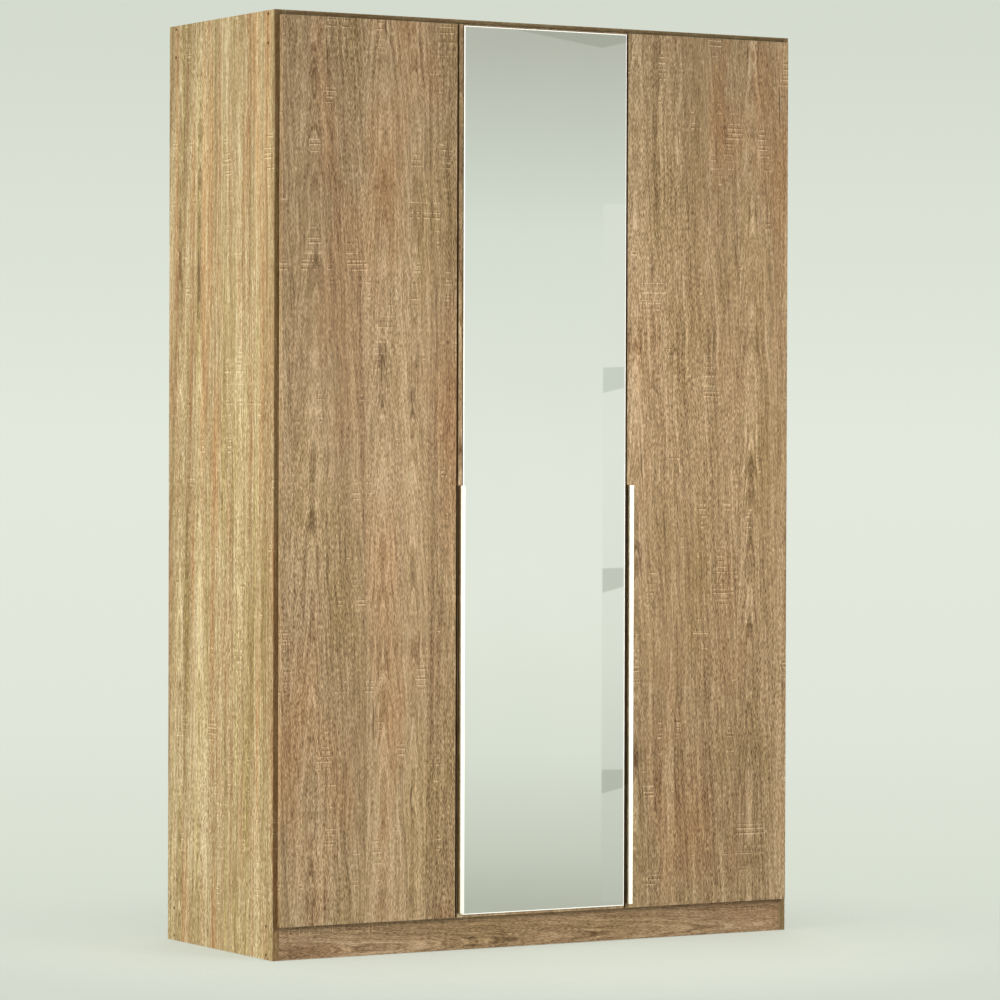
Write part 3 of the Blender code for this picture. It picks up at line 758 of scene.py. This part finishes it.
# %% [markdown]
# ## The floor and the soft light
#
# The wardrobe stands in a pale studio.  The floor is a disc that fades out, so that no
# line shows where it ends.  The world is two things at once: to the camera and in
# reflections it is a gentle pale gradient, and to everything else a dimmer soft light
# that is stronger from above.
#
# A broad light on the left brightens the side; a nearer one in front of the doors falls
# off towards the top and the foot; one behind keeps the back from going dark.  Two more
# are linked to single things, as no real lamp can be: one gives the pulls their shine,
# and one washes the floor.

# %% Lay the floor
FLOOR_RADIUS = 4.0
FLOOR_FADE = (0.6, 1.45)  # between these distances it goes from thin to clear
FLOOR_THIN = 0.5
FLOOR_DROP = 0.0005      # keeps it clear of the feet


def disc(radius, rings=24, steps=96):
    """Point (i, j) at radius r * i / rings and angle 2 pi j / steps."""
    reach = np.linspace(0.02, 1.0, rings)[:, None] * radius
    angle = np.arange(steps) * (math.tau / steps)
    points = np.stack([reach * np.cos(angle), reach * np.sin(angle), 0 * reach * angle], axis=-1)
    faces = grid_faces(rings, steps, True)[:, ::-1].tolist() + [list(range(steps))]
    return points.reshape(-1, 3), faces


floor_paint, node, shader = new_material("pale_floor")
spread = node("VectorMath", {0: node("TexCoord").outputs["Object"]}, operation="LENGTH")
fade = node("MapRange", {"Value": spread.outputs["Value"], "From Min": FLOOR_FADE[0],
                         "From Max": FLOOR_FADE[1], "To Min": FLOOR_THIN},
            interpolation_type="SMOOTHSTEP")
shader.inputs["Base Color"].default_value = linear("#e4eae1")
shader.inputs["Roughness"].default_value = 0.9
shader.inputs["Specular IOR Level"].default_value = 0.1
mixed = node("MixShader", {0: fade, 1: shader, 2: node("BsdfTransparent")})
node("OutputMaterial", {0: mixed}).is_active_output = True
floor_points, floor_faces = disc(FLOOR_RADIUS)
floor_mesh = bpy.data.meshes.new("floor")
floor_mesh.from_pydata(floor_points.tolist(), [], floor_faces)
floor_mesh.materials.append(floor_paint)
floor = bpy.data.objects.new("floor", floor_mesh)
floor.location.z = -FLOOR_DROP
floor.visible_glossy = False
scene.collection.objects.link(floor)
floor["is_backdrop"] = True
print("floor faces", len(floor_faces))

# %% Paint the background and set the ambient light
AMBIENT = 0.13           # strength of the soft light at the horizon
OVERHEAD = 0.62          # and how much is added straight up
BACKDROP = ((0.0, "#d4dace"), (0.12, "#d9e0d2"), (0.27, "#e0e6d9"), (0.55, "#e3e9dd"),
            (1.0, "#d4dbce"))
BACKDROP_RISE = (-0.1223, 0.0966)  # sine of the view's slope at the gradient's foot and head
world = bpy.data.worlds.new("studio")
world.use_nodes = True
scene.world = world
world.node_tree.nodes.clear()
node = functools.partial(add, world.node_tree)
rise = node("SeparateXYZ", {0: node("TexCoord").outputs["Generated"]}).outputs["Z"]
rise_share = node("MapRange", {"Value": rise, "From Min": BACKDROP_RISE[0],
                               "From Max": BACKDROP_RISE[1]})
backdrop = node("ValToRGB", {0: rise_share})
stops = backdrop.color_ramp.elements
stops[0].color, stops[1].color = linear(BACKDROP[0][1]), linear(BACKDROP[-1][1])
for place, colour in BACKDROP[1:-1]:
    stops.new(place).color = linear(colour)
seen = node("Background", {0: backdrop})
strength = node("MapRange", {"Value": rise, "To Min": AMBIENT, "To Max": AMBIENT + OVERHEAD})
soft = node("Background", {0: linear("#f4f6f0"), 1: strength})
path = node("LightPath").outputs
looked_at = node("Math", {0: path["Is Camera Ray"], 1: path["Is Glossy Ray"]}, operation="MAXIMUM")
both = node("MixShader", {0: looked_at, 1: soft, 2: seen})
node("OutputWorld", {0: both})
scene.view_settings.view_transform = "Standard"
print("background set")

# %% Place the lights
def area_light(name, place, target, size, watts, colour, glossy):
    """A square light at a place, turned to face a target."""
    lamp = bpy.data.lights.new(name, "AREA")
    lamp.size = size
    lamp.energy = watts
    lamp.color = linear(colour)[:3]
    made = bpy.data.objects.new(name, lamp)
    made.location = place
    away = made.location - type(made.location)(target)
    made.rotation_euler = away.to_track_quat("Z", "Y").to_euler()
    made.visible_camera = False
    made.visible_glossy = glossy
    scene.collection.objects.link(made)
    return made


LIGHTS = (               # name, place, target, size, watts, colour, and whether reflections see it
    ("left_window", (-3.3, -0.65, 1.15), (-0.3, 0.0, 1.1), 1.8, 67, "#fffaf2", True),
    ("front_fill", (0.4, -2.1, 1.14), (0.0, -0.26, 1.12), 0.8, 20.5, "#fff6ee", False),
    ("back_fill", (2.2, 4.2, 2.0), (0.2, 0.2, 1.0), 2.5, 62, "#fbfbf8", False),
    ("pull_glint", (1.9, -3.3, 0.4), (0.2, -0.27, 0.5), 2.0, 14, "#fffdf6", True),
    ("floor_wash", (0.4, -0.8, 4.0), (0.0, -0.3, 0.0), 4.0, 30, "#fbfcff", False),
)
lamps = {settings[0]: area_light(*settings) for settings in LIGHTS}
pulls = bpy.data.collections.new("pulls")
for door in ("mirror_door", "right_door"):
    pulls.objects.link(nodes[f"{door}_handle"])
lamps["pull_glint"].light_linking.receiver_collection = pulls
lit_floor = bpy.data.collections.new("lit_floor")
lit_floor.objects.link(floor)
lamps["floor_wash"].light_linking.receiver_collection = lit_floor
print("lights", sorted(lamps))

# %% [markdown]
# ## What the mirror shows
#
# A mirror with nothing to reflect looks like a grey board.  A tall card stands where the
# reflection points, four metres off: brightest at waist height, greyer above and below.
# Smaller cards stand a little nearer: a narrow window at the right with three bars
# across it, a shaded jamb that fades into the wall beside it, and a dim ceiling above.
# Only reflections can see them.  A point on a card is (sideways, up) in metres.

# %% Stand up the reflected card
CARD_DISTANCE = 4.0
CARD_HALF_WIDTH = 2.2
CARD_LOW, CARD_HIGH = -1.0, 3.4
CARD_GAIN = 1.075        # makes up for what the silver swallows
away = np.array([math.sin(CAMERA_TURN), -math.cos(CAMERA_TURN), 0.0])
sideways = np.array([math.cos(CAMERA_TURN), math.sin(CAMERA_TURN), 0.0])
card_origin = np.array([0.0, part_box("mirror_glass")[0][1], 0.0]) + away * CARD_DISTANCE
CARD_STOPS = ((-1.0, "#a4a89a"), (-0.32, "#b4b8aa"), (-0.145, "#c7ccbe"), (0.17, "#dae0d3"),
              (0.49, "#e1e6da"), (0.73, "#e4e8dd"), (1.17, "#e2e7dc"), (1.80, "#d8ded3"),
              (2.07, "#c9cfc4"), (2.40, "#b7baaf"), (3.4, "#a4a79c"))


def card(name, corners, nearer, material):
    """A flat card: corners are (sideways, up) on the card's plane."""
    points = [card_origin - away * nearer + sideways * s + np.array([0, 0, z]) for s, z in corners]
    mesh = bpy.data.meshes.new(name)
    mesh.from_pydata([p.tolist() for p in points], [], [tuple(range(len(points)))])
    mesh.materials.append(material)
    made = bpy.data.objects.new(name, mesh)
    scene.collection.objects.link(made)
    made.visible_camera = made.visible_diffuse = made.visible_shadow = False
    made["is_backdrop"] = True


def glow(name, stops, fade_from=None):
    """A lit surface whose colour follows its height, from (height, hex) pairs; if asked, it
    fades in from nothing at fade_from sideways to full at the window."""
    made, node, shader = new_material(name)
    up = node("SeparateXYZ", {0: node("TexCoord").outputs["Object"]}).outputs["Z"]
    low, high = stops[0][0], stops[-1][0]
    ramp = node("ValToRGB", {0: node("MapRange", {"Value": up, "From Min": low, "From Max": high})})
    points = ramp.color_ramp.elements
    points[0].color, points[1].color = linear(stops[0][1]), linear(stops[-1][1])
    for height, colour in stops[1:-1]:
        points.new((height - low) / (high - low)).color = linear(colour)
    lit = node("Emission", {0: ramp, 1: CARD_GAIN})
    if fade_from is not None:
        across = node("VectorMath", {0: node("TexCoord").outputs["Object"], 1: sideways.tolist()},
                      operation="DOT_PRODUCT").outputs["Value"]
        shade = node("MapRange", {"Value": across, "From Min": fade_from, "From Max": WINDOW[0]})
        lit = node("MixShader", {0: shade, 1: node("BsdfTransparent"), 2: lit})
    node("OutputMaterial", {0: lit}).is_active_output = True
    return made


WINDOW = (0.224, 0.291)
JAMB_EDGE, JAMB_FADE, JAMB_TOP = 0.05, 0.11, 1.90
WINDOW_LOW, WINDOW_HIGH = -0.30, 1.896
CEILING = ((-0.6, 2.56), (0.218, 2.389), (0.6, 2.47), (0.6, 3.2), (-0.6, 3.2))
BARS = ((1.303, 1.319, 1.385, 1.382), (0.675, 0.694, 0.754, 0.751), (0.043, 0.062, 0.120, 0.118))
JAMB_STOPS = ((-1.0, "#9da294"), (-0.145, "#a8ad9f"), (0.49, "#bac0b3"), (1.12, "#c8cdc2"),
              (1.9, "#ccd1c6"))
WINDOW_STOPS = ((-0.3, "#b9beb1"), (-0.145, "#c3c8bb"), (0.17, "#cfd4c8"),
                (0.49, "#dadfd3"), (1.12, "#e0e5da"), (1.9, "#d9ded3"))
BAR_STOPS = ((0.0, "#b4b9ac"), (0.7, "#c2c7bb"), (1.4, "#cad0c5"))
CEILING_STOPS = ((2.3, "#a9ac9f"), (3.2, "#9a9d90"))


def upright(left, right, low, high):
    """Corners of a rectangle, anticlockwise from low left."""
    return [(left, low), (right, low), (right, high), (left, high)]


card("reflected_wall", upright(-CARD_HALF_WIDTH, CARD_HALF_WIDTH, CARD_LOW, CARD_HIGH), 0.0,
     glow("lit_wall", CARD_STOPS))
card("reflected_jamb", upright(JAMB_EDGE, WINDOW[0], CARD_LOW, JAMB_TOP), 0.02,
     glow("shaded_jamb", JAMB_STOPS, JAMB_FADE))
card("reflected_window", upright(*WINDOW, WINDOW_LOW, WINDOW_HIGH), 0.04,
     glow("lit_window", WINDOW_STOPS))
for number, (low_left, low_right, high_right, high_left) in enumerate(BARS, 1):
    card(f"reflected_bar_{number}", [(WINDOW[0], low_left), (WINDOW[1], low_right),
                                     (WINDOW[1], high_right), (WINDOW[0], high_left)], 0.06,
         glow(f"grey_bar_{number}", BAR_STOPS))
card("reflected_ceiling", CEILING, 0.02, glow("dim_ceiling", CEILING_STOPS))
print("card at", [round(v, 2) for v in card_origin])

# %% [markdown]
# ## Sizes
#
# The dressed wardrobe has to fill the same box as the bare model.  Both boxes are
# written down for comparison.

# %% Write both boxes and finish
low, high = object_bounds()
print("dressed size", [round(h - l, 4) for l, h in zip(low, high)])
